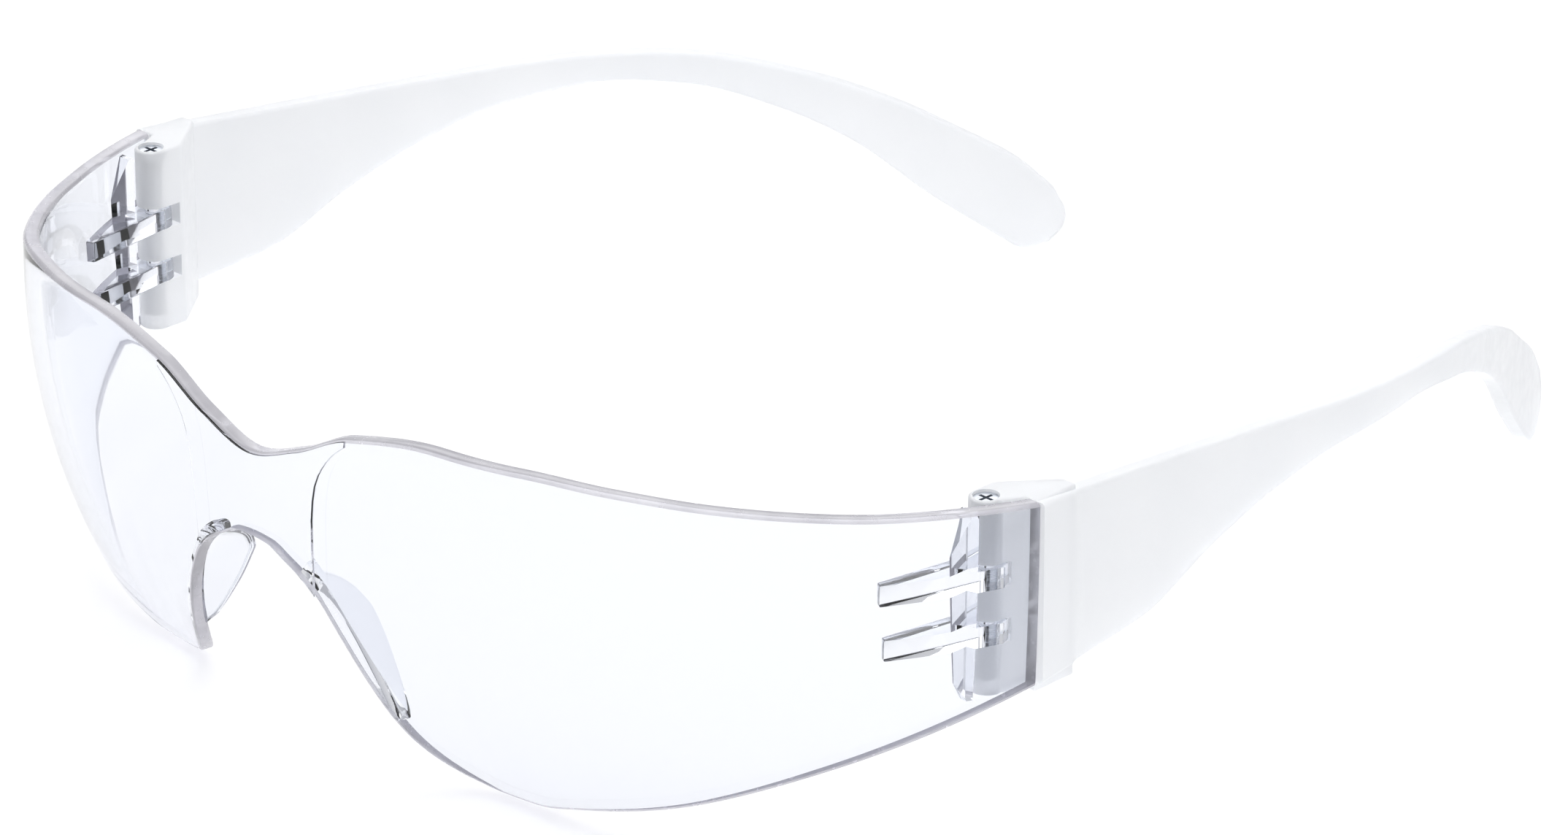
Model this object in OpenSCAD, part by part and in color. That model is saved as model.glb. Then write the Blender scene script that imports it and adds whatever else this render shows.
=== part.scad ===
// Wrap-around safety glasses: one clear shield lens, two folding temples and two hinge screws.
// Millimetres. X is the wearer's left, -Y is the way the wearer looks, Z is up.

/* [Shield lens] */
// Wall thickness of the lens
lens_thickness = 1.8; // [1.6:0.1:2.2]
// Frontmost line of the lens above the nose
lens_front_y = -51.7; // [-54:0.1:-48]
// Plan radius of the flat middle part
front_radius = 262; // [200:1:320]
// Plan angle where the middle part ends
front_angle = 6.35; // [5:0.05:8]
// Plan radius of the wrap
wrap_radius = 37; // [34:0.5:42]
// Plan angle where the wrap ends
wrap_angle = 43.3; // [40:0.1:46]
// Plan radius of the sides
side_radius = 76; // [70:1:90]
// Plan angle at the ends
side_angle = 74.8; // [72:0.1:77]
// Radius of the wall seen from the side
lean_radius = 67.5; // [60:0.5:80]
// Height where the wall stands upright
lean_top_z = 39.2; // [38:0.1:41]
// Share of the lean that is left at the ends
end_lean = 0.36; // [0.3:0.02:0.6]
// Distance from the middle where the lean sets in
nose_start = 0.7; // [0:0.1:3]
// Distance over which the lean grows to its full size
nose_blend = 24.4; // [18:0.1:30]
// Front face of the lens ends
lens_end_y = -6.3; // [-7:0.1:-6]
// Extra thickness of the bridge panel
bridge_step = 0.25; // [0.1:0.05:0.4]

/* [Nose pads] */
// Thickness of the pad flanges
pad_thickness = 1.5; // [1.2:0.1:2]
// Plan angle by which the pads close in towards the rear
pad_lean = 17; // [10:1:22]
// Inset of the pads from the nose edge
pad_inset = 0.3; // [0.2:0.05:0.4]

/* [Hinges] */
// Distance of each hinge axis from the middle
hinge_x = 65.8; // [65:0.05:67]
// Hinge axis position front to back
hinge_y = -8.85; // [-9:0.05:-8.4]
// Radius of the temple barrels
barrel_radius = 1.85; // [1.8:0.05:2.1]
// Radius of the lens lugs
lug_radius = 2.15; // [2:0.05:2.3]
// Underside of the lower prong
low_prong_z = 23; // [22:0.1:24]
// Spacing of the two prongs
prong_pitch = 6.4; // [6:0.1:6.6]
// Thickness of the prongs
prong_height = 2.4; // [2:0.1:2.6]
// Gap above and below each lug
lug_gap = 0.1; // [0.05:0.05:0.3]
// Running clearance on the screw
pin_clearance = 0.05; // [0.02:0.01:0.1]

/* [Temples] */
// Temple thickness
temple_thickness = 2.1; // [1.8:0.1:2.4]
// Length of the straight part
straight_length = 42; // [36:1:46]
// Plan heading of the straight part
straight_heading = 3.7; // [0:0.1:5]
// Plan radius of the bend towards the head
bend_radius = 92; // [80:1:110]
// Plan heading of the tips
tip_heading = 29.7; // [25:0.1:36]
// Underside of the hinge block
block_bottom_z = 17; // [16:0.1:18]
// Top of the hinge block
block_top_z = 38.8; // [38:0.1:39.5]
// Rear end of the hinge block
block_rear_y = -0.2; // [-0.5:0.1:0.5]

/* [Screws] */
// Shank radius
shank_radius = 0.9; // [0.8:0.05:1]
// Head radius
head_radius = 1.4; // [1.3:0.05:1.5]
// Head height
head_height = 1.0; // [0.8:0.1:1.2]
// Depth of the head below the block top
head_recess = 0.3; // [0.2:0.1:0.5]
// Lower end of the screw
screw_tip_z = 18.6; // [18:0.1:20]
// Pitch of the thread grooves
thread_pitch = 0.45; // [0.4:0.05:0.6]
// Depth of the thread grooves
thread_depth = 0.12; // [0.1:0.01:0.15]

/* [Colours] */
// Shield lens
lens_colour = [0.80, 0.87, 0.95, 0.35];
// Temples
temple_colour = [0.90, 0.92, 0.94, 0.80];
// Screws
steel_colour = [0.62, 0.64, 0.66, 1];

/* [Hidden] */
$fn = 96;
eps = 0.01;
rad = 180 / PI;

// Height of the lens edges at stations along the wall: [distance from the middle, height]
top_stations = [[0, 36.3], [7.5, 38.6], [15, 42.1], [27, 44.2], [38, 44.4], [48, 43.5], [58, 42],
    [67, 40.8], [76, 39.8], [96, 38.6]];
bottom_stations = [[0, 26.2], [2.5, 26], [4.85, 24.9], [6.8, 23.8], [8.9, 22], [11.5, 17.9], [14, 12.7],
    [15.8, 8.6], [17.4, 5.7], [19.5, 3.3], [22, 1.6], [25, 0.7], [30, 0.8], [36, 2.1], [49, 5], [67, 10.4],
    [96, 18.9]];
// Outline of the bridge panel on the front face: [distance from the middle, height]
panel_stations = [[9.3, 27], [9.5, 31], [10.2, 35.2], [11.5, 37.8], [13.1, 39.7], [15.9, 41.9]];
// Rear edge of a nose pad: [height, y]
pad_stations = [[8.3, -44.6], [9.8, -43.7], [12.1, -43.2], [15.9, -42.9], [19, -43.1], [21, -44.1],
    [22.8, -45.8], [24, -48]];
// Upper and lower outline of a temple seen from the side: [y, height]
temple_top = [[-6.2, 38.7], [0, 38.2], [11, 37.1], [22, 36], [44, 33.6], [57, 32.2], [70, 30.1],
    [84, 25.4], [93, 20.9], [99.7, 16.5], [106, 12], [110.2, 7.6]];
temple_bottom = [[-6.2, 18.2], [2, 18.9], [11, 19.9], [22, 24.1], [33, 27.1], [44.5, 28.6], [57, 28.5],
    [70, 26.1], [80, 21.7], [88, 16.5], [96.5, 8.4], [104.4, 1.7]];
tip_radius = 3.85;
tip_centre = [107.7, 3.85];

// ---- Smooth curve through stations, with slopes limited so that it never overshoots
function slope(t, i) = (t[i + 1][1] - t[i][1]) / (t[i + 1][0] - t[i][0]);
function knot(t, i) =
    i == 0 ? 0 :
    i == len(t) - 1 ? slope(t, i - 1) :
    slope(t, i - 1) * slope(t, i) <= 0 ? 0 :
    2 * slope(t, i - 1) * slope(t, i) / (slope(t, i - 1) + slope(t, i));
function seek(t, v, i = 0) = i >= len(t) - 2 || v < t[i + 1][0] ? i : seek(t, v, i + 1);
function smooth(t, v, i, u, h) =
    t[i][1] * (1 + 2 * u) * pow(1 - u, 2) + knot(t, i) * h * u * pow(1 - u, 2)
    + t[i + 1][1] * u * u * (3 - 2 * u) + knot(t, i + 1) * h * u * u * (u - 1);
function level(t, v) =
    let (i = seek(t, v), h = t[i + 1][0] - t[i][0]) smooth(t, v, i, (v - t[i][0]) / h, h);

// ---- Plan line of the lens: three arcs that meet without a corner
front_run = front_radius * front_angle / rad;
wrap_run = wrap_radius * (wrap_angle - front_angle) / rad;
side_run = side_radius * (side_angle - wrap_angle) / rad;
lens_run = front_run + wrap_run + side_run;
wrap_centre = [(front_radius - wrap_radius) * sin(front_angle),
    lens_front_y + front_radius - (front_radius - wrap_radius) * cos(front_angle)];
side_centre = wrap_centre + (wrap_radius - side_radius) * [sin(wrap_angle), -cos(wrap_angle)];
function turn(s) =
    s < front_run ? s / front_radius * rad :
    s < front_run + wrap_run ? front_angle + (s - front_run) / wrap_radius * rad :
    wrap_angle + (s - front_run - wrap_run) / side_radius * rad;
function arc_point(c, r, a) = [c[0] + r * sin(a), c[1] - r * cos(a)];
function plan(s) =
    s < front_run ? arc_point([0, lens_front_y + front_radius], front_radius, turn(s)) :
    s < front_run + wrap_run ? arc_point(wrap_centre, wrap_radius, turn(s)) :
    arc_point(side_centre, side_radius, turn(s));
lean_start = 50;
function ease(u) = u <= 0 ? 0 : u >= 1 ? 1 : u * u * (3 - 2 * u);
function lean_share(s) =
    ease((s - nose_start) / nose_blend) * (1 - (1 - end_lean) * ease((s - lean_start) / (lens_run - lean_start)));
function lean(s, z) = pow(lean_top_z - z, 2) / (2 * lean_radius) * lean_share(s);
// Point of the wall: s along the wall (signed), z up, d behind the front face
function wall(s, z, d) =
    let (a = turn(abs(s)), p = plan(abs(s)), k = s < 0 ? -1 : 1)
    [k * (p[0] - d * sin(a)), p[1] + d * cos(a) + lean(abs(s), z), z];

function lens_top(s) = level(top_stations, abs(s));
function lens_bottom(s) = level(bottom_stations, abs(s));
panel_inset = 0.3;
function panel_low(s) = abs(s) < panel_stations[0][0] ? lens_bottom(s) + panel_inset : level(panel_stations, abs(s));
function panel_high(s) = lens_top(s) - panel_inset;

// ---- Closed skin over a list of stations
rows = 10;
module skin(s, low, high, front, back) {
    n = len(s);
    m = rows + 1;
    points = [for (d = [front, back], i = [0:n - 1], j = [0:rows])
        wall(s[i], low[i] + (high[i] - low[i]) * j / rows, d)];
    half = n * m;
    front_faces = [for (i = [0:n - 2], j = [0:rows - 1], k = [0, 1])
        k == 0 ? [i * m + j, i * m + j + 1, (i + 1) * m + j] : [i * m + j + 1, (i + 1) * m + j + 1, (i + 1) * m + j]];
    back_faces = [for (f = front_faces) [f[0] + half, f[2] + half, f[1] + half]];
    low_faces = [for (i = [0:n - 2], k = [0, 1])
        k == 0 ? [i * m, (i + 1) * m, i * m + half] : [(i + 1) * m, (i + 1) * m + half, i * m + half]];
    high_faces = [for (i = [0:n - 2], k = [0, 1])
        k == 0 ? [i * m + rows, i * m + rows + half, (i + 1) * m + rows]
            : [(i + 1) * m + rows, i * m + rows + half, (i + 1) * m + rows + half]];
    left_faces = [for (j = [0:rows - 1], k = [0, 1])
        k == 0 ? [j, j + half, j + 1] : [j + 1, j + half, j + 1 + half]];
    last = (n - 1) * m;
    right_faces = [for (f = left_faces) [f[0] + last, f[2] + last, f[1] + last]];
    polyhedron(points, concat(front_faces, back_faces, low_faces, high_faces, left_faces, right_faces));
}

nose_span = 22;
nose_cells = 22;
side_cells = 28;
half_run = [for (i = [1:nose_cells]) nose_span * i / nose_cells];
rest_run = [for (i = [1:side_cells]) nose_span + (lens_run - nose_span) * i / side_cells];
outward = concat(half_run, rest_run);
lens_s = concat([for (i = [len(outward) - 1:-1:0]) -outward[i]], [0], outward);
panel_half = [1, 2, 3, 4, 5, 6, 7, 8, 9.2, 9.35, 9.7, 10.2, 11, 12, 13, 14, 14.8];
panel_s = concat([for (i = [len(panel_half) - 1:-1:0]) -panel_half[i]], [0], panel_half);

module wall_shell() {
    difference() {
        skin(lens_s, [for (s = lens_s) lens_bottom(s)], [for (s = lens_s) lens_top(s)], 0, lens_thickness);
        translate([-100, lens_end_y, -1])
            cube([200, 20, 60]);
    }
    skin(panel_s, [for (s = panel_s) panel_low(s)], [for (s = panel_s) panel_high(s)], -bridge_step, lens_thickness / 2);
}

// ---- Hinge prongs of the left side: flat ribs that leave the wall and end in the lugs
prong_run = [75.5, 79, 82, 85, 88, 89.6];
prong_tip_s = 75.5;
prong_tip_width = 0.9;
free_edge_x = hinge_x - lug_radius;
function prong_z(i) = low_prong_z + i * prong_pitch;
module prong(i) {
    mid = prong_z(i) + prong_height / 2;
    tip = wall(prong_tip_s, mid, lens_thickness + prong_tip_width);
    translate([0, 0, prong_z(i)])
        linear_extrude(prong_height)
            difference() {
                union() {
                    translate([hinge_x, hinge_y])
                        circle(lug_radius);
                    polygon(concat([[free_edge_x, hinge_y], [tip[0], tip[1]]],
                        [for (s = prong_run) let (p = wall(s, mid, lens_thickness / 2)) [p[0], p[1]]],
                        [[hinge_x + lug_radius, hinge_y]]));
                }
                translate([hinge_x, hinge_y])
                    circle(shank_radius + pin_clearance);
            }
}

// ---- Ramp behind the wall that stiffens the prongs, with tapered ends
gusset_low_z = 17;
gusset_high_z = 38.3;
gusset_front_y = -15.8;
gusset_rear_y = -11.8;
gusset_depth = 1.7;
module gusset() {
    mid = low_prong_z + prong_pitch / 2;
    front = wall(81.9, mid, lens_thickness / 2);
    rear = wall(86.2, mid, lens_thickness / 2);
    intersection() {
        translate([0, 0, gusset_low_z])
            linear_extrude(gusset_high_z - gusset_low_z)
                polygon([[front[0], gusset_front_y], [rear[0], gusset_rear_y],
                    [rear[0] - gusset_depth - lens_thickness / 2, gusset_rear_y]]);
        translate([hinge_x - 6, 0, 0])
            rotate([90, 0, 90])
                linear_extrude(10)
                    polygon([[gusset_rear_y, gusset_low_z], [gusset_rear_y - 0.6, gusset_low_z],
                        [gusset_front_y, low_prong_z - 0.5], [gusset_front_y, low_prong_z + 9],
                        [gusset_rear_y - 0.6, gusset_high_z], [gusset_rear_y, gusset_high_z]]);
    }
}

// ---- Nose pad of the left side: a flange that follows the nose edge and runs backwards
pad_pivot = [12, -48];
pad_s = [6.8, 7.8, 8.9, 10.2, 11.5, 12.8, 14, 15, 15.7, 16.2];
function edge(s) =
    let (p = wall(s, lens_bottom(s), 0), x = p[0] - tan(pad_lean) * (pad_pivot[1] - p[1]))
    [pad_pivot[0] + (x - pad_pivot[0]) * cos(pad_lean), p[2]];
function edge_normal(s) = let (a = edge(s - 0.2), b = edge(s + 0.2), d = (b - a) / norm(b - a)) [-d[1], d[0]];
module pad_strip() {
    inner = [for (s = pad_s) edge(s) + pad_inset * edge_normal(s)];
    outer = [for (i = [len(pad_s) - 1:-1:0]) edge(pad_s[i]) + (pad_inset + pad_thickness) * edge_normal(pad_s[i])];
    rotate([90, 0, 0])
        translate([0, 0, 30])
            linear_extrude(30)
                polygon(concat(inner, outer));
}
pad_low_z = pad_stations[0][0];
pad_high_z = pad_stations[len(pad_stations) - 1][0];
pad_cells = 18;
module pad() {
    rear = [for (i = [0:pad_cells]) let (z = pad_low_z + (pad_high_z - pad_low_z) * i / pad_cells)
        [level(pad_stations, z), z]];
    front = [for (s = pad_s) let (p = wall(s, lens_bottom(s), lens_thickness / 2)) [p[1], p[2]]];
    intersection() {
        translate([pad_pivot[0], pad_pivot[1], 0])
            rotate([0, 0, pad_lean])
                translate([-pad_pivot[0], -pad_pivot[1], 0])
                    pad_strip();
        rotate([90, 0, 90])
            linear_extrude(30)
                polygon(concat(rear, [[front[0][0], pad_high_z + 1]], front, [[front[len(front) - 1][0], pad_low_z - 1]]));
    }
}

module lens_side() {
    prong(0);
    prong(1);
    gusset();
    pad();
}

module lens_body() {
    wall_shell();
    lens_side();
    mirror([1, 0, 0])
        lens_side();
}

// ---- Temple of the left side
blade_start = [69.85, -1];
function heading(a) = [-sin(a), cos(a)];
bend_start = blade_start + straight_length * heading(straight_heading);
bend_centre = bend_start - bend_radius * [cos(straight_heading), sin(straight_heading)];
bend_end = bend_centre + bend_radius * [cos(tip_heading), sin(tip_heading)];
tip_run = 40;
module ribbon(at, angle, run) {
    translate(at)
        rotate(angle)
            translate([-temple_thickness / 2, 0])
                square([temple_thickness, run]);
}
module blade_plan() {
    reach = 2 * bend_radius;
    ribbon(blade_start, straight_heading, straight_length + eps);
    ribbon(bend_end - eps * heading(tip_heading), tip_heading, tip_run);
    intersection() {
        translate(bend_centre)
            difference() {
                circle(bend_radius + temple_thickness / 2, $fn = 360);
                circle(bend_radius - temple_thickness / 2, $fn = 360);
            }
        polygon([bend_centre, bend_centre + reach * [cos(straight_heading), sin(straight_heading)],
            bend_centre + reach * [cos(tip_heading), sin(tip_heading)]]);
    }
    polygon(cheek);
}
cheek_front_y = lens_end_y + 0.1;
cheek = [[68.5, cheek_front_y], [71.3, cheek_front_y], [70.85, block_rear_y], [68.4, block_rear_y]];
function trace(t) = [for (i = [0:len(t) - 2], k = [0:2])
    let (y = t[i][0] + (t[i + 1][0] - t[i][0]) * k / 3) [y, level(t, y)]];
module blade_side() {
    lower = trace(temple_bottom);
    tip = [for (a = [40:-14:-128]) tip_centre + tip_radius * [cos(a), sin(a)]];
    polygon(concat(trace(temple_top), tip, [for (i = [len(lower) - 1:-1:0]) lower[i]]));
}
module blade() {
    intersection() {
        linear_extrude(block_top_z + 2)
            blade_plan();
        rotate([90, 0, 90])
            linear_extrude(90)
                blade_side();
    }
}

block_side_x = hinge_x - barrel_radius;
module block_plan() {
    translate([hinge_x, hinge_y])
        circle(barrel_radius);
    polygon([[block_side_x, hinge_y], [block_side_x, hinge_y + 3], [68.4, block_rear_y], [69.5, block_rear_y],
        [69.5, cheek_front_y], [68.7, cheek_front_y], [67.55, hinge_y + 0.3], [hinge_x, hinge_y + 0.3]]);
}
slot_radius = lug_radius + 0.3;
module slot(i) {
    translate([0, 0, prong_z(i) - lug_gap])
        linear_extrude(prong_height + 2 * lug_gap)
            translate([hinge_x, hinge_y]) {
                circle(slot_radius);
                polygon([[-6, -6], [-6, slot_radius], [0, slot_radius], [slot_radius, 0], [slot_radius, -6]]);
            }
}
head_low_z = block_top_z - head_recess - head_height;
module screw_bore() {
    translate([hinge_x, hinge_y, screw_tip_z])
        cylinder(r = shank_radius, h = block_top_z - screw_tip_z + 1);
    translate([hinge_x, hinge_y, head_low_z])
        cylinder(r = head_radius + pin_clearance, h = head_height + head_recess + 1);
}
module temple_body() {
    difference() {
        union() {
            translate([0, 0, block_bottom_z])
                linear_extrude(block_top_z - block_bottom_z)
                    block_plan();
            blade();
        }
        slot(0);
        slot(1);
        screw_bore();
    }
}

// ---- Screw of the left side
grooves = 6;
module screw_body() {
    translate([hinge_x, hinge_y, 0])
        difference() {
            union() {
                translate([0, 0, head_low_z])
                    cylinder(r = head_radius, h = head_height);
                translate([0, 0, screw_tip_z])
                    cylinder(r = shank_radius, h = head_low_z - screw_tip_z + eps);
            }
            for (a = [0, 90])
                rotate(a)
                    translate([-head_radius * 0.65, -0.2, head_low_z + head_height - 0.6])
                        cube([head_radius * 1.3, 0.4, 1]);
            for (i = [0:grooves - 1])
                translate([0, 0, screw_tip_z + 0.3 + i * thread_pitch])
                    rotate_extrude()
                        polygon([[shank_radius - thread_depth, 0], [shank_radius + 0.1, -0.14],
                            [shank_radius + 0.1, 0.14]]);
        }
}

// ---- Nodes, moved so that the glasses are centred front to back
middle_y = (lens_front_y + tip_centre[0] + tip_radius) / 2;
module placed() {
    translate([0, -middle_y, 0])
        children();
}
module lens_shield() {
    color(lens_colour)
        placed()
            lens_body();
}
module left_temple() {
    color(temple_colour)
        placed()
            temple_body();
}
module right_temple() {
    color(temple_colour)
        mirror([1, 0, 0])
            placed()
                temple_body();
}
module left_hinge_screw() {
    color(steel_colour)
        placed()
            screw_body();
}
module right_hinge_screw() {
    color(steel_colour)
        mirror([1, 0, 0])
            placed()
                screw_body();
}

lens_shield();
left_temple();
right_temple();
left_hinge_screw();
right_hinge_screw();
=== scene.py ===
import bpy, bmesh
from math import sin, cos, tan, asin, radians, pi, sqrt
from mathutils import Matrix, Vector


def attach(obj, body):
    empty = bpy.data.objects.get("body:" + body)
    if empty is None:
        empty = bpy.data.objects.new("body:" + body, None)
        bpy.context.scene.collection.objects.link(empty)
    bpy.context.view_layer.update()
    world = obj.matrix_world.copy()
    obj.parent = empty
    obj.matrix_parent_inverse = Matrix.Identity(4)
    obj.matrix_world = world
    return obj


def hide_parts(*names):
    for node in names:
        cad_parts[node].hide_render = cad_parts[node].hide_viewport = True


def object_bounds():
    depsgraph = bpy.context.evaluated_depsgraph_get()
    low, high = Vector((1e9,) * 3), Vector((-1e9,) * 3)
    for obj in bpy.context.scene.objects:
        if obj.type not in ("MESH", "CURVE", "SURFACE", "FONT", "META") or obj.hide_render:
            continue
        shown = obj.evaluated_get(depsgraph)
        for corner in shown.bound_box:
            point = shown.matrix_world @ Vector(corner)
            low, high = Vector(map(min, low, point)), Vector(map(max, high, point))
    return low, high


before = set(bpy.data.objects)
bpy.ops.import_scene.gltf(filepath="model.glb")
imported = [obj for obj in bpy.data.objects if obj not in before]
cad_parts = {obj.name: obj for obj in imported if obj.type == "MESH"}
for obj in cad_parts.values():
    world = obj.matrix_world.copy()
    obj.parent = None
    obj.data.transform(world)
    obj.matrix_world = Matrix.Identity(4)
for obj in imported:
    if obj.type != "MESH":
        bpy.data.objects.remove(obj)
CAD_LO, CAD_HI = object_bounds()
MM = 0.001
SHIFT_Y = -29.925         # the outlines are drawn with the lens ends near y = 0, and new_object moves them

# ---------------------------------------------------------------- camera
AZIMUTH, ELEVATION, DISTANCE = radians(45.5), radians(24.2), 0.9213
FOCAL_LENGTH, SENSOR_WIDTH = 189.4, 36
AIM_OFFSET = Vector((0, -0.00304, -0.00702))


def make_camera():
    back = Vector((sin(AZIMUTH) * cos(ELEVATION), -cos(AZIMUTH) * cos(ELEVATION), sin(ELEVATION)))
    aim = (CAD_LO + CAD_HI) / 2 + AIM_OFFSET
    data = bpy.data.cameras.new("camera")
    data.sensor_width = SENSOR_WIDTH
    data.lens = FOCAL_LENGTH
    data.clip_start, data.clip_end = 0.01, 50
    cam = bpy.data.objects.new("camera", data)
    bpy.context.scene.collection.objects.link(cam)
    cam.location = aim + back * DISTANCE
    cam.rotation_mode = "QUATERNION"
    cam.rotation_quaternion = (-back).to_track_quat("-Z", "Y")
    bpy.context.scene.camera = cam


# ---------------------------------------------------------------- smooth curves through stations
def slope(table, i):
    return (table[i + 1][1] - table[i][1]) / (table[i + 1][0] - table[i][0])


def knot_slope(table, i):
    """The curve's slope at a station: level at the first one, and flat wherever the stations turn back."""
    if i == 0:
        return 0.0
    if i == len(table) - 1:
        return slope(table, i - 1)
    before, after = slope(table, i - 1), slope(table, i)
    return 0.0 if before * after <= 0 else 2 * before * after / (before + after)


def level(table, v):
    """The height at v on the smooth curve through a table of (place, height) stations."""
    i = 0
    while i < len(table) - 2 and v >= table[i + 1][0]:
        i += 1
    gap = table[i + 1][0] - table[i][0]
    u = (v - table[i][0]) / gap
    return (table[i][1] * (1 + 2 * u) * (1 - u) ** 2 + knot_slope(table, i) * gap * u * (1 - u) ** 2
            + table[i + 1][1] * u * u * (3 - 2 * u) + knot_slope(table, i + 1) * gap * u * u * (u - 1))


def ease(u):
    u = min(max(u, 0.0), 1.0)
    return u * u * (3 - 2 * u)


def both_sides(half):
    """The places of one side, which start at 0, with their mirror images in front."""
    return [-s for s in half[:0:-1]] + half


# ---------------------------------------------------------------- lens wall, as the CAD has it
FRONT_Y, THICK = -51.7, 1.8
R1, R2, R3 = 262.0, 37.0, 76.0                                  # the three arcs of the plan curve
A1, A2, A3 = radians(6.35), radians(43.3), radians(74.8)        # its heading where each arc ends
L1, L2, L3 = R1 * A1, R2 * (A2 - A1), R3 * (A3 - A2)
LENS_RUN = L1 + L2 + L3
C2 = ((R1 - R2) * sin(A1), FRONT_Y + R1 - (R1 - R2) * cos(A1))
C3 = (C2[0] + (R2 - R3) * sin(A2), C2[1] - (R2 - R3) * cos(A2))
LEAN_TOP, LEAN_R = 39.2, 67.5                                   # the wall curves back below this height
NOSE_START, NOSE_BLEND, FADE_START, END_LEAN = 0.7, 24.4, 50, 0.36
TOP = [(0, 36.3), (7.5, 38.6), (15, 42.1), (27, 44.2), (38, 44.4), (48, 43.5), (58, 42), (67, 40.8),
       (76, 39.8), (96, 38.6)]
BOTTOM = [(0, 26.2), (2.5, 26), (4.85, 24.9), (6.8, 23.8), (8.9, 22), (11.5, 17.9), (14, 12.7), (15.8, 8.6),
          (17.4, 5.7), (19.5, 3.3), (22, 1.6), (25, 0.7), (30, 0.8), (36, 2.1), (49, 5), (67, 10.4),
          (96, 18.9)]


def turn(s):
    """The plan curve's heading at the distance s from the middle."""
    if s < L1:
        return s / R1
    if s < L1 + L2:
        return A1 + (s - L1) / R2
    return A2 + (s - L1 - L2) / R3


def plan(s):
    a = turn(s)
    if s < L1:
        return R1 * sin(a), FRONT_Y + R1 - R1 * cos(a)
    if s < L1 + L2:
        return C2[0] + R2 * sin(a), C2[1] - R2 * cos(a)
    return C3[0] + R3 * sin(a), C3[1] - R3 * cos(a)


def wall(s, z, depth):
    """A point of the lens: s along the plan curve, at the height z, and depth behind the outer face."""
    side, s = (-1, -s) if s < 0 else (1, s)
    a = turn(s)
    x, y = plan(s)
    nose = ease((s - NOSE_START) / NOSE_BLEND)
    fade = 1 - (1 - END_LEAN) * ease((s - FADE_START) / (LENS_RUN - FADE_START))
    lean = (LEAN_TOP - z) ** 2 / (2 * LEAN_R) * nose * fade
    return Vector((side * (x - depth * sin(a)), y + depth * cos(a) + lean, z))


# ---------------------------------------------------------------- mesh helpers
RIM_SLOT = 1              # the lens's second material, for its cut edge


def new_object(name, bm):
    """Turns a mesh drawn in millimetres into an object in the frame."""
    for v in bm.verts:
        v.co = Vector((v.co.x * MM, (v.co.y + SHIFT_Y) * MM, v.co.z * MM))
    bmesh.ops.recalc_face_normals(bm, faces=bm.faces)
    mesh = bpy.data.meshes.new(name)
    bm.to_mesh(mesh)
    bm.free()
    o = bpy.data.objects.new(name, mesh)
    bpy.context.scene.collection.objects.link(o)
    return o


def outline_normals(points, side):
    out = []
    for i in range(len(points)):
        a, b = points[max(i - 1, 0)], points[min(i + 1, len(points) - 1)]
        d = Vector((b[0] - a[0], b[1] - a[1])).normalized()
        out.append(Vector((-d.y, d.x)) * side)
    return out


def stitch(bm, loops):
    """Closes a skin over rings of points, and gives its (strip, face) pairs; an end face is strip -1."""
    n = len(loops[0])
    faces = [(j, bm.faces.new((a[j], b[j], b[(j + 1) % n], a[(j + 1) % n])))
             for a, b in zip(loops, loops[1:]) for j in range(n)]
    return faces + [(-1, bm.faces.new(loops[0])), (-1, bm.faces.new(loops[-1][::-1]))]


def slab(bm, low, high, put, thick, radius, rows=24, arc=5, rim=False):
    """A plate with rounded edges between a lower and an upper outline, given column by column.

    put(p, q, depth) places a point. With rim, the faces along the edge get the lens's second material.
    """
    def rounded(a):
        return radius - radius * cos(a) if a <= pi / 2 else thick - radius - radius * cos(a)

    corner = [pi * k / (arc * 2) for k in range(1, arc * 2)]
    loops = []
    for b, t, in_b, in_t in zip(low, high, outline_normals(low, 1), outline_normals(high, -1)):
        b, t = Vector(b), Vector(t)
        r = min(radius, (t - b).length * 0.45)
        flat = [(b + in_b * r).lerp(t + in_t * r, j / rows) for j in range(rows + 1)]
        ring = [put(*p, 0.0) for p in flat]
        ring += [put(*(t + in_t * (r - r * sin(a))), rounded(a)) for a in corner]
        ring += [put(*p, thick) for p in reversed(flat)]
        ring += [put(*(b + in_b * (r - r * sin(a))), thick - rounded(a)) for a in corner]
        loops.append([bm.verts.new(v) for v in ring])
    outer_face, inner_face = range(rows), range(rows + 2 * arc, 2 * rows + 2 * arc)
    for strip, face in stitch(bm, loops):
        if rim and strip not in outer_face and strip not in inner_face:
            face.material_index = RIM_SLOT


def prism(name, points, low, high, axis="z", bevel=0.0):
    """A straight prism over a polygon in plan, or with axis x over one seen from the side, in y and z."""
    bm = bmesh.new()
    place = (lambda a, b, h: (a, b, h)) if axis == "z" else (lambda a, b, h: (h, a, b))
    rings = [[bm.verts.new(place(a, b, h)) for a, b in points] for h in (low, high)]
    n = len(points)
    for j in range(n):
        bm.faces.new((rings[0][j], rings[0][(j + 1) % n], rings[1][(j + 1) % n], rings[1][j]))
    bm.faces.new(rings[0][::-1])
    bm.faces.new(rings[1])
    if bevel:
        bmesh.ops.recalc_face_normals(bm, faces=bm.faces)
        sharp = [e for e in bm.edges if len(e.link_faces) == 2 and e.calc_face_angle() > radians(25)]
        bmesh.ops.bevel(bm, geom=sharp, offset=bevel, offset_type="OFFSET", segments=3, profile=0.5,
                        affect="EDGES", clamp_overlap=True)
    return new_object(name, bm)


def disc(x, y, r, n=64):
    return [(x + r * cos(2 * pi * i / n), y + r * sin(2 * pi * i / n)) for i in range(n)]


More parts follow.
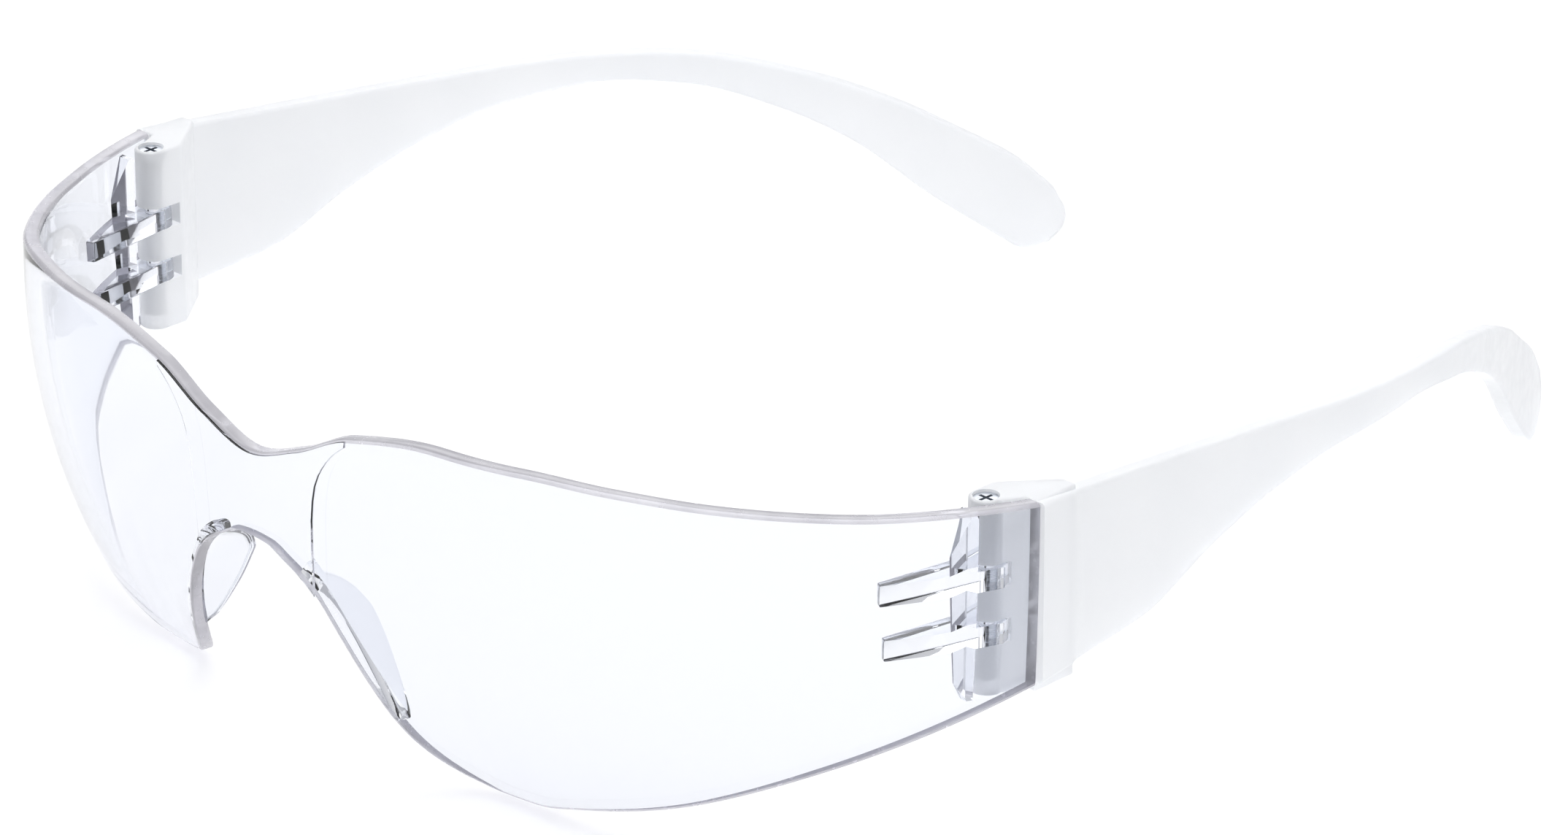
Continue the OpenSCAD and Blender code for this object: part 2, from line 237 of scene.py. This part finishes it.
def combine(target, others, op):
    """Applies the others to the target one by one and removes them."""
    for o in others:
        m = target.modifiers.new(op, "BOOLEAN")
        m.operation, m.solver, m.object = op, "EXACT", o
        mesh = bpy.data.meshes.new_from_object(target.evaluated_get(bpy.context.evaluated_depsgraph_get()))
        target.modifiers.clear()
        target.data = mesh
        bpy.data.objects.remove(o, do_unlink=True)
    return target


def mirrored(o, name):
    mesh = o.data.copy()
    bm = bmesh.new()
    bm.from_mesh(mesh)
    for v in bm.verts:
        v.co.x = -v.co.x
    bmesh.ops.reverse_faces(bm, faces=bm.faces)
    bm.to_mesh(mesh)
    bm.free()
    c = bpy.data.objects.new(name, mesh)
    bpy.context.scene.collection.objects.link(c)
    return c


# ---------------------------------------------------------------- lens
COLUMN, NOSE_END = 0.9, 25          # spacing along the wall, and along the sloping lower edge before NOSE_END
LENS_ROUND, LENS_SPARE = 0.45, 0.5
LENS_END_Y = -6.3                   # both ends are cut off square here


def lens_wall():
    half, s, probe = [], 0.0, 0.05
    while s < LENS_RUN + LENS_SPARE - 0.1:
        half.append(s)
        steep = (level(BOTTOM, s + probe) - level(BOTTOM, s)) / probe
        s += COLUMN / sqrt(1 + steep ** 2) if s < NOSE_END else COLUMN
    half[-1] = LENS_RUN + LENS_SPARE
    line = both_sides(half)
    low = [(s, level(BOTTOM, abs(s))) for s in line]
    high = [(s, level(TOP, abs(s))) for s in line]
    bm = bmesh.new()
    slab(bm, low, high, wall, THICK, LENS_ROUND, rows=26, rim=True)
    geom = bm.verts[:] + bm.edges[:] + bm.faces[:]
    cut = bmesh.ops.bisect_plane(bm, geom=geom, plane_co=(0, LENS_END_Y, 0), plane_no=(0, 1, 0),
                                 clear_outer=True)
    edges = [e for e in cut["geom_cut"] if isinstance(e, bmesh.types.BMEdge)]
    for f in bmesh.ops.holes_fill(bm, edges=edges, sides=0)["faces"]:
        f.material_index = RIM_SLOT
    return new_object("lens_visual", bm)


# The thin panel over the nose stands a little proud of the wall's outer face, inside its outline.
PANEL = [(9.3, 27), (9.5, 31), (10.2, 35.2), (11.5, 37.8), (13.1, 39.7), (15.9, 41.9)]
PANEL_INSET, PANEL_PROUD, PANEL_THICK, PANEL_ROUND = 0.3, 0.25, 1.15, 0.12


def panel_low(x):
    return level(BOTTOM, x) + PANEL_INSET if x < PANEL[0][0] else level(PANEL, x)


def bridge_panel():
    bm = bmesh.new()
    half = [0.6 * i for i in range(16)]
    half += [9.2, 9.35, 9.5, 9.8, 10.2, 10.8, 11.4, 12, 12.6, 13.2, 13.8, 14.4, 14.8]
    line = both_sides(half)
    low = [(x, panel_low(abs(x))) for x in line]
    high = [(x, level(TOP, abs(x)) - PANEL_INSET) for x in line]
    slab(bm, low, high, lambda s, z, d: wall(s, z, d - PANEL_PROUD), PANEL_THICK, PANEL_ROUND, rows=20, arc=3)
    return new_object("panel", bm)


# The pad follows the lower edge of the lens, leans inward about PAD_PIVOT and ends behind in a round edge.
PAD_LEAN, PAD_PIVOT = radians(17), (12.0, -48.0)
PAD_START, PAD_RUN, PAD_STEPS = 6.8, 9.4, 44
PAD_INSET, PAD_THICK, PAD_ROUND, PAD_LEAST = 0.3, 1.5, 0.55, 0.7
PAD_REAR = [(8.3, -44.6), (9.8, -43.7), (12.1, -43.2), (15.9, -42.9), (19, -43.1), (21, -44.1), (22.8, -45.8),
            (24, -48)]


def pad_edge(x):
    """The lower edge of the lens as the leaning pad sees it: across and up."""
    q = wall(x, level(BOTTOM, x), 0)
    across = q.x - tan(PAD_LEAN) * (PAD_PIVOT[1] - q.y)
    return Vector((PAD_PIVOT[0] + (across - PAD_PIVOT[0]) * cos(PAD_LEAN), q.z))


def pad_section():
    """Places through the pad's thickness and back from its rear rounding; None stands for the front."""
    r, quarter = PAD_ROUND, [pi * k / 8 for k in range(5)]
    return ([(0, None), (0, 0.0)] + [(r - r * cos(a), r * sin(a)) for a in quarter[1:]]
            + [(PAD_THICK - r + r * sin(a), r * cos(a)) for a in quarter] + [(PAD_THICK, None)])


def nose_pad():
    bm = bmesh.new()
    loops = []
    for i in range(PAD_STEPS + 1):
        x = PAD_START + PAD_RUN * i / PAD_STEPS
        d = (pad_edge(x + 0.2) - pad_edge(x - 0.2)).normalized()
        front = wall(x, level(BOTTOM, x), THICK / 2).y
        ring = []
        for through, back in pad_section():
            q = pad_edge(x) + Vector((-d.y, d.x)) * (PAD_INSET + through)
            height = min(max(q.y, PAD_REAR[0][0]), PAD_REAR[-1][0])
            rear = max(level(PAD_REAR, height), front + PAD_LEAST)
            y = front if back is None else rear - PAD_ROUND + back
            across = (q.x - PAD_PIVOT[0]) / cos(PAD_LEAN) - tan(PAD_LEAN) * (y - PAD_PIVOT[1])
            ring.append(bm.verts.new((PAD_PIVOT[0] + across, y, q.y)))
        loops.append(ring)
    stitch(bm, loops)
    return new_object("pad", bm)


HINGE_X, HINGE_Y, BARREL, LUG = 65.8, -8.85, 1.85, 2.15
LUG_BORE, LUG_BORE_LOW, LUG_BORE_HIGH = 0.95, 20, 35
REACH = 6                           # how far cutting shapes pass inward of the hinge
PRONGS, PRONG_HEIGHT = (23.0, 29.4), 2.4
PRONG_START, PRONG_TIP, PRONG_ROUND = 75.5, 0.9, 0.12


def prong(z):
    """A finger on the inside of the wall that ends in the lug of the hinge."""
    mid, top = z + PRONG_HEIGHT / 2, z + PRONG_HEIGHT
    tip = wall(PRONG_START, mid, THICK + PRONG_TIP)
    root = [wall(s, mid, THICK / 2) for s in (PRONG_START, 79, 82, 85, 88, 89.6)]
    bar = [(HINGE_X - LUG, HINGE_Y), tip[:2]] + [q[:2] for q in root] + [(HINGE_X + LUG, HINGE_Y)]
    return [prism("prong", bar, z, top, bevel=PRONG_ROUND), prism("lug", disc(HINGE_X, HINGE_Y, LUG), z, top)]


GUSSET_LOW, GUSSET_HIGH, GUSSET_MIDDLE = 17, 38.3, 26.2
GUSSET_FRONT, GUSSET_REAR = (81.9, -15.8), (86.2, -11.8)        # each a place along the wall, and y
GUSSET_STEP, GUSSET_EDGE = 1.7, 0.6


def gusset():
    """The ramp on the inside of the wall in front of the hinge, less tall at its front."""
    front, rear = (wall(g[0], GUSSET_MIDDLE, THICK / 2) for g in (GUSSET_FRONT, GUSSET_REAR))
    yf, yr = GUSSET_FRONT[1], GUSSET_REAR[1]
    low, high, edge = GUSSET_LOW, GUSSET_HIGH, yr - GUSSET_EDGE
    ramp = prism("gusset", [(front.x, yf), (rear.x, yr), (rear.x - GUSSET_STEP - THICK / 2, yr)], low, high)
    outline = [(yr, low), (edge, low), (yf, 22.5), (yf, 32), (edge, high), (yr, high)]
    side = prism("side", outline, HINGE_X - REACH, HINGE_X + 4, axis="x")
    return combine(ramp, [side], "INTERSECT")


def lens_piece(looks):
    body = lens_wall()
    for look in looks:
        body.data.materials.append(look)
    left = [nose_pad(), gusset()] + prong(PRONGS[0]) + prong(PRONGS[1])
    right = [mirrored(o, o.name + "_r") for o in left]
    combine(body, [bridge_panel()] + left + right, "UNION")
    holes = [prism("bore", disc(side * HINGE_X, HINGE_Y, LUG_BORE), LUG_BORE_LOW, LUG_BORE_HIGH)
             for side in (1, -1)]
    return combine(body, holes, "DIFFERENCE")


# ---------------------------------------------------------------- temple
T_TOP = [(-6.2, 38.7), (0, 38.2), (11, 37.1), (22, 36), (44, 33.6), (57, 32.2), (70, 30.1), (84, 25.4),
         (93, 20.9), (99.7, 16.5), (106, 12), (110.2, 7.6)]
T_BOTTOM = [(-6.2, 18.2), (2, 18.9), (11, 19.9), (22, 24.1), (33, 27.1), (44.5, 28.6), (57, 28.5), (70, 26.1),
            (80, 21.7), (88, 16.5), (96.5, 8.4), (104.4, 1.7)]
T_THICK, T_ROUND = 2.1, 0.5
T_START, T_RUN, HEADING_START = (69.85, -1.0), 42.0, radians(3.7)       # straight as far as the bend
BEND, HEADING_END = 92.0, radians(29.7)
TIP, TIP_R = (107.7, 3.85), 3.85
TIP_TOP, TIP_BOTTOM, TIP_TURN, TIP_STEPS = 40, -128, 84, 8     # the two halves of the round end, in degrees
B_START = (T_START[0] - T_RUN * sin(HEADING_START), T_START[1] + T_RUN * cos(HEADING_START))
B_CENTRE = (B_START[0] - BEND * cos(HEADING_START), B_START[1] - BEND * sin(HEADING_START))
CHEEK_STEP, CHEEK_FRONT, CHEEK_BULGE, CHEEK_MIDDLE, CHEEK_HALF = 0.32, -1.4, 1.5, 28, 11.5
T_COLUMNS, FINE_SHARE, FINE_RUN = 150, 0.15, 0.09       # 15% of the columns are on the first 9% of the blade
BLOCK_LOW, BLOCK_HIGH, BLOCK_ROUND = 17, 38.8, 0.3
SLOT_GAP, SLOT_SPARE = 0.1, 0.3
SCREW_BORE, SCREW_LOW, SINK_R, SINK_LOW, ABOVE = 0.9, 18.6, 1.45, 37.5, 40


def heading(y):
    if y < B_START[1]:
        return HEADING_START
    return min(asin(min((y - B_CENTRE[1]) / BEND, 1.0)), HEADING_END)


def centre_x(y):
    if y < B_START[1]:
        return T_START[0] - (y - T_START[1]) * tan(HEADING_START)
    end = B_CENTRE[1] + BEND * sin(HEADING_END)
    if y < end:
        return B_CENTRE[0] + sqrt(BEND ** 2 - (y - B_CENTRE[1]) ** 2)
    return B_CENTRE[0] + BEND * cos(HEADING_END) - (y - end) * tan(HEADING_END)


def cheek(y, z):
    """The soft step of the outer face just behind the lens, 1 mm wide along a bulging crease."""
    crease = CHEEK_FRONT + CHEEK_BULGE * max(0.0, 1 - ((z - CHEEK_MIDDLE) / CHEEK_HALF) ** 2)
    return CHEEK_STEP * (1 - ease(y - crease + 0.5))


def blade_point(y, z, depth):
    a = heading(y)
    out = T_THICK / 2 - depth + cheek(y, z) * (1 - depth / T_THICK)
    return Vector((centre_x(y) + out * cos(a), y + out * sin(a), z))


def blade():
    start = T_TOP[0][0]
    top_run, bottom_run = T_TOP[-1][0] - start, T_BOTTOM[-1][0] - start
    low, high = [], []
    for i in range(T_COLUMNS + 1):
        u = i / T_COLUMNS
        if u < FINE_SHARE:
            u = FINE_RUN * (u / FINE_SHARE)
        else:
            u = FINE_RUN + (1 - FINE_RUN) * (u - FINE_SHARE) / (1 - FINE_SHARE)
        top_y, bottom_y = start + top_run * u, start + bottom_run * u
        high.append((top_y, level(T_TOP, top_y)))
        low.append((bottom_y, level(T_BOTTOM, bottom_y)))
    for k in range(1, TIP_STEPS):
        turned = TIP_TURN * k / TIP_STEPS
        a, b = radians(TIP_TOP - turned), radians(TIP_BOTTOM + turned)
        high.append((TIP[0] + TIP_R * cos(a), TIP[1] + TIP_R * sin(a)))
        low.append((TIP[0] + TIP_R * cos(b), TIP[1] + TIP_R * sin(b)))
    bm = bmesh.new()
    slab(bm, low, high, blade_point, T_THICK, T_ROUND, rows=14, arc=4)
    return new_object("temple", bm)


def hinge_block():
    """The block at the temple's front end, with the half-round barrel that the screw passes through."""
    half_turn = [radians(a) for a in range(180, 361, 9)]
    barrel = [(HINGE_X + BARREL * cos(a), HINGE_Y + BARREL * sin(a)) for a in half_turn]
    rest = [(67.55, HINGE_Y + 0.3), (68.7, -6.2), (70.6, -6.2), (70.4, -0.2), (68.4, -0.2)]
    return prism("block", barrel + rest + [(HINGE_X - BARREL, HINGE_Y + 3)], BLOCK_LOW, BLOCK_HIGH,
                 bevel=BLOCK_ROUND)


def prong_slot(z):
    """Room for a prong and its lug, also while the temple turns inward."""
    low, high, r = z - SLOT_GAP, z + PRONG_HEIGHT + SLOT_GAP, LUG + SLOT_SPARE
    inner_x, front_y = HINGE_X - REACH, HINGE_Y - REACH
    outline = [(inner_x, front_y), (HINGE_X + r, front_y), (HINGE_X + r, HINGE_Y), (HINGE_X, HINGE_Y + r),
               (inner_x, HINGE_Y + r)]
    return [prism("slot", disc(HINGE_X, HINGE_Y, r), low, high), prism("slot", outline, low, high)]


def temple():
    body = combine(blade(), [hinge_block()], "UNION")
    cuts = prong_slot(PRONGS[0]) + prong_slot(PRONGS[1])
    cuts.append(prism("bore", disc(HINGE_X, HINGE_Y, SCREW_BORE), SCREW_LOW, ABOVE))
    cuts.append(prism("sink", disc(HINGE_X, HINGE_Y, SINK_R), SINK_LOW, ABOVE))
    return combine(body, cuts, "DIFFERENCE")


# ---------------------------------------------------------------- materials
def material(name):
    mat = bpy.data.materials.new(name)
    mat.use_nodes = True
    return mat, mat.node_tree, mat.node_tree.nodes["Principled BSDF"]


def noise(tree, scale, detail, stretch=None):
    coord = tree.nodes.new("ShaderNodeTexCoord")
    tex = tree.nodes.new("ShaderNodeTexNoise")
    tex.inputs["Scale"].default_value = scale
    tex.inputs["Detail"].default_value = detail
    if stretch:
        mapping = tree.nodes.new("ShaderNodeMapping")
        mapping.inputs["Scale"].default_value = stretch
        tree.links.new(coord.outputs["Object"], mapping.inputs[0])
        tree.links.new(mapping.outputs[0], tex.inputs[0])
    else:
        tree.links.new(coord.outputs["Object"], tex.inputs[0])
    return tex.outputs[0]


def spread(tree, source, low, high):
    """Stretches the middle of a noise over the range from low to high."""
    r = tree.nodes.new("ShaderNodeMapRange")
    r.inputs["From Min"].default_value, r.inputs["From Max"].default_value = 0.3, 0.7
    r.inputs["To Min"].default_value, r.inputs["To Max"].default_value = low, high
    tree.links.new(source, r.inputs["Value"])
    return r.outputs[0]


def mottle(tree, shader, source, dark, light):
    """A base colour that varies between two shades with a noise."""
    ramp = tree.nodes.new("ShaderNodeValToRGB")
    ramp.color_ramp.elements[0].color = dark
    ramp.color_ramp.elements[1].color = light
    tree.links.new(spread(tree, source, 0, 1), ramp.inputs[0])
    tree.links.new(ramp.outputs[0], shader.inputs["Base Color"])


def vary_roughness(tree, shader, source, low, high):
    tree.links.new(spread(tree, source, low, high), shader.inputs["Roughness"])


def bump(tree, shader, source, distance, strength):
    b = tree.nodes.new("ShaderNodeBump")
    b.inputs["Distance"].default_value = distance
    b.inputs["Strength"].default_value = strength
    tree.links.new(source, b.inputs["Height"])
    tree.links.new(b.outputs[0], shader.inputs["Normal"])


def see_through(tree, shader, tint):
    """Lets the light through when it is traced as a shadow, as thin plastic does."""
    path = tree.nodes.new("ShaderNodeLightPath")
    through = tree.nodes.new("ShaderNodeBsdfTransparent")
    through.inputs["Color"].default_value = tint
    mix = tree.nodes.new("ShaderNodeMixShader")
    tree.links.new(path.outputs["Is Shadow Ray"], mix.inputs[0])
    tree.links.new(shader.outputs[0], mix.inputs[1])
    tree.links.new(through.outputs[0], mix.inputs[2])
    tree.links.new(mix.outputs[0], tree.nodes["Material Output"].inputs["Surface"])


def absorb(tree, colour, density):
    volume = tree.nodes.new("ShaderNodeVolumeAbsorption")
    volume.inputs["Color"].default_value = colour
    volume.inputs["Density"].default_value = density
    tree.links.new(volume.outputs[0], tree.nodes["Material Output"].inputs["Volume"])


PLASTIC_IOR = 1.45


def clear_plastic():
    mat, tree, shader = material("clear_polycarbonate")
    shader.inputs["Base Color"].default_value = (0.895, 0.91, 0.95, 1)
    shader.inputs["IOR"].default_value = PLASTIC_IOR
    shader.inputs["Transmission Weight"].default_value = 1.0
    vary_roughness(tree, shader, noise(tree, 60, 3), 0.0, 0.03)
    bump(tree, shader, noise(tree, 45, 2), 0.00004, 0.25)
    see_through(tree, shader, (0.96, 0.965, 0.98, 1))
    absorb(tree, (0.70, 0.73, 0.86, 1), 12.0)
    return mat


def lens_rim_painted_shade():
    """The cut edge of the lens, which scatters light where the faces are polished; its grey-lavender base
    colour is partly painted shade, standing in for the darkness the edges get from internal reflection.
    """
    mat, tree, shader = material("lens_rim_painted_shade")
    # painted shade: the edge is coloured grey-lavender to darken it as internal reflection would; the noise
    # only varies that tone at random
    mottle(tree, shader, noise(tree, 160, 3), (0.56, 0.55, 0.60, 1), (0.75, 0.74, 0.79, 1))
    shader.inputs["IOR"].default_value = PLASTIC_IOR
    shader.inputs["Transmission Weight"].default_value = 0.35
    vary_roughness(tree, shader, noise(tree, 900, 2), 0.12, 0.3)
    see_through(tree, shader, (0.8, 0.8, 0.84, 1))
    return mat


def frosted_plastic():
    mat, tree, shader = material("frosted_plastic")
    mottle(tree, shader, noise(tree, 90, 4), (0.93, 0.94, 0.957, 1), (0.965, 0.972, 0.985, 1))
    shader.inputs["IOR"].default_value = PLASTIC_IOR
    shader.inputs["Transmission Weight"].default_value = 0.45
    vary_roughness(tree, shader, noise(tree, 700, 3), 0.34, 0.5)
    bump(tree, shader, noise(tree, 4200, 2), 0.00002, 0.35)
    see_through(tree, shader, (0.86, 0.87, 0.89, 1))
    absorb(tree, (0.78, 0.79, 0.82, 1), 4.0)
    return mat


def steel():
    mat, tree, shader = material("screw_steel")
    grain = noise(tree, 900, 3, (1, 1, 14))
    mottle(tree, shader, grain, (0.42, 0.45, 0.50, 1), (0.72, 0.74, 0.78, 1))
    shader.inputs["Metallic"].default_value = 1.0
    vary_roughness(tree, shader, grain, 0.22, 0.42)
    bump(tree, shader, grain, 0.00001, 0.4)
    return mat


# ---------------------------------------------------------------- pieces
SHARP = radians(32)


def dress(o, body, node):
    for f in o.data.polygons:
        f.use_smooth = True
    o.data.set_sharp_from_angle(angle=SHARP)
    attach(o, body)
    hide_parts(node)


def make_glasses():
    lens = lens_piece([clear_plastic(), lens_rim_painted_shade()])
    lens.name = "lens_visual"
    dress(lens, "front", "lens_shield")
    arm = temple()
    arm.name = "left_temple_visual"
    arm.data.materials.append(frosted_plastic())
    twin = mirrored(arm, "right_temple_visual")
    dress(arm, "left_arm", "left_temple")
    dress(twin, "right_arm", "right_temple")
    metal = steel()
    for name in ("left_hinge_screw", "right_hinge_screw"):
        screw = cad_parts[name]
        screw.data.materials.clear()
        screw.data.materials.append(metal)


# ---------------------------------------------------------------- stage
FLOOR_HALF, FLOOR_GAP = 6, 0.0002


def make_floor():
    bm = bmesh.new()
    bmesh.ops.create_grid(bm, x_segments=1, y_segments=1, size=FLOOR_HALF)
    mesh = bpy.data.meshes.new("floor")
    bm.to_mesh(mesh)
    bm.free()
    floor = bpy.data.objects.new("floor", mesh)
    floor.location.z = CAD_LO.z - FLOOR_GAP
    bpy.context.scene.collection.objects.link(floor)
    mat, _, shader = material("floor")
    shader.inputs["Base Color"].default_value = (0.9, 0.9, 0.9, 1)
    shader.inputs["Roughness"].default_value = 0.9
    shader.inputs["Specular IOR Level"].default_value = 0.0
    floor.data.materials.append(mat)


def softbox(name, place, size, power, aim=(0, 0, 0.02)):
    data = bpy.data.lights.new(name, "AREA")
    data.shape = "SQUARE"
    data.size = size
    data.energy = power
    o = bpy.data.objects.new(name, data)
    bpy.context.scene.collection.objects.link(o)
    o.location = place
    o.rotation_mode = "QUATERNION"
    o.rotation_quaternion = (Vector(aim) - Vector(place)).to_track_quat("-Z", "Y")


def make_studio():
    """A white room that darkens a little towards the horizon."""
    world = bpy.data.worlds.new("studio")
    bpy.context.scene.world = world
    world.use_nodes = True
    tree = world.node_tree
    background = tree.nodes["Background"]
    coord = tree.nodes.new("ShaderNodeTexCoord")
    split = tree.nodes.new("ShaderNodeSeparateXYZ")
    ramp = tree.nodes.new("ShaderNodeValToRGB")
    tree.links.new(coord.outputs["Generated"], split.inputs[0])
    tree.links.new(split.outputs["Z"], ramp.inputs[0])
    tree.links.new(ramp.outputs[0], background.inputs[0])
    horizon, above = ramp.color_ramp.elements
    horizon.position, horizon.color = 0.0, (0.60, 0.61, 0.65, 1)
    above.position, above.color = 0.6, (1, 1, 1, 1)
    background.inputs[1].default_value = 0.78
    bpy.context.scene.view_settings.view_transform = "Standard"


make_camera()
make_glasses()
make_floor()
softbox("softbox_top", (0.1, -0.1, 1.6), 1.6, 15)
softbox("softbox_back", (-1.2, 1.2, 1.0), 1.0, 4)
make_studio()
